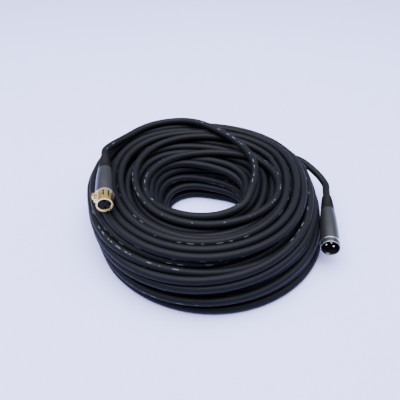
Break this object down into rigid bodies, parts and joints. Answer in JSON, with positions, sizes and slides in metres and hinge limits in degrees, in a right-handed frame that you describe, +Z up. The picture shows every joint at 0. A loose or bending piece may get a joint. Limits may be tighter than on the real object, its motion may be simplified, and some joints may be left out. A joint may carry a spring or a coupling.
{
  "type": "xlr cable coil",
  "caption": "Long balanced microphone cable wound into a round hank, with a female and a male three-pole plug, each with a ribbed boot and a metal shell.",
  "frame": {"origin": "on the floor, at the centre of the hank's bottom outer ring", "axes": "+Z up, the axis of the hank; +X towards the male plug's side; +Y away from the open ends of both plugs, towards their boots"},
  "size_m": [0.2601, 0.2507, 0.0759],
  "materials": {
    "jacket": "satin black-blue PVC cable jacket",
    "shell": "satin dark grey",
    "bright_ring": "polished",
    "gold": "satin gold plating",
    "contact_gold": "gold plating",
    "contact_silver": "polished silver plating",
    "steel": "plain",
    "dark_steel": "blackened",
    "insert": "matte",
    "clamp": "matte",
    "boot": "matte",
    "copper": "bare copper strands",
    "red": "gloss",
    "white": "gloss"
  },
  "bodies": {
    "cable": {"coil_core": "jacket", "coil_turns": "jacket", "female_lead": "jacket", "male_lead": "jacket", "female_shell": "shell", "female_ring": "bright_ring", "female_sleeve": "gold", "female_insert": "insert", "socket_1": "contact_gold", "socket_2": "contact_gold", "socket_3": "contact_gold", "latch_pin": "steel", "latch_spring": "steel", "female_clamp": "clamp", "female_boot": "boot", "female_screw": "dark_steel", "female_cable_end": "jacket", "female_wire_shield": "copper", "female_wire_red": "red", "female_wire_white": "white", "male_shell": "shell", "male_ring": "bright_ring", "male_insert": "insert", "pin_1": "contact_silver", "pin_2": "contact_silver", "pin_3": "contact_silver", "male_clamp": "clamp", "male_boot": "boot", "male_screw": "dark_steel", "male_cable_end": "jacket", "male_wire_shield": "copper", "male_wire_red": "red", "male_wire_white": "white"},
    "latch": {"latch": "gold"}
  },
  "joints": [
    {"name": "latch_press", "type": "hinge", "parent": "cable", "child": "latch", "pos_m": [-0.11046, -0.02755, 0.0665], "axis": [0, 0, 1], "range_deg": [0, 8], "stiffness_Nm_per_rad": 0.1, "springref_deg": -5.73, "deforming": ["latch_spring"]}
  ]
}
